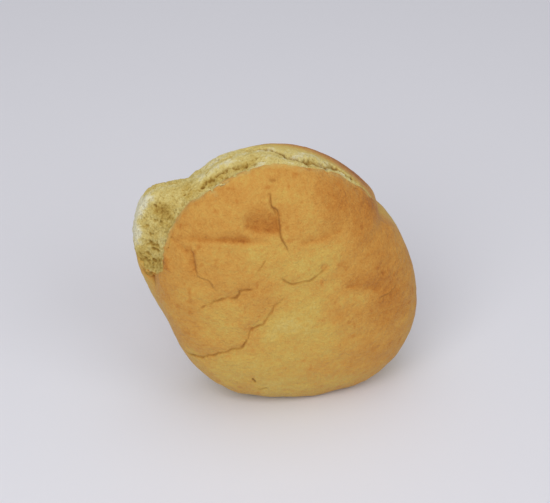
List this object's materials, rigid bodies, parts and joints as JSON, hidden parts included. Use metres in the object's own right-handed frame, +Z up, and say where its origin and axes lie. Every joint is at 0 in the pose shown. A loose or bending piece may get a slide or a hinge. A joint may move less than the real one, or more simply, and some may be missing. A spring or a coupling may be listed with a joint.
{
  "type": "soft bread roll",
  "caption": "Soft round bread roll standing on its rim, domed browned crown in front, with a torn crumb lump, groove and fissure where it was pulled from its neighbour.",
  "frame": {"origin": "on the surface it rests on, under the middle of the roll's box", "axes": "+Z up, the crown faces -Y and leans back a little, the heel faces +Y, the torn lump is at the upper left, towards -X"},
  "size_m": [0.1056, 0.047, 0.098],
  "materials": {
    "crust": "thin, soft, golden to orange-brown baked crust, dry and nearly matt",
    "crumb": "torn, airy crumb, cream to pale ochre, finely porous and fully matt"
  },
  "bodies": {
    "root": {"bread_roll": "crust"}
  },
  "joints": []
}
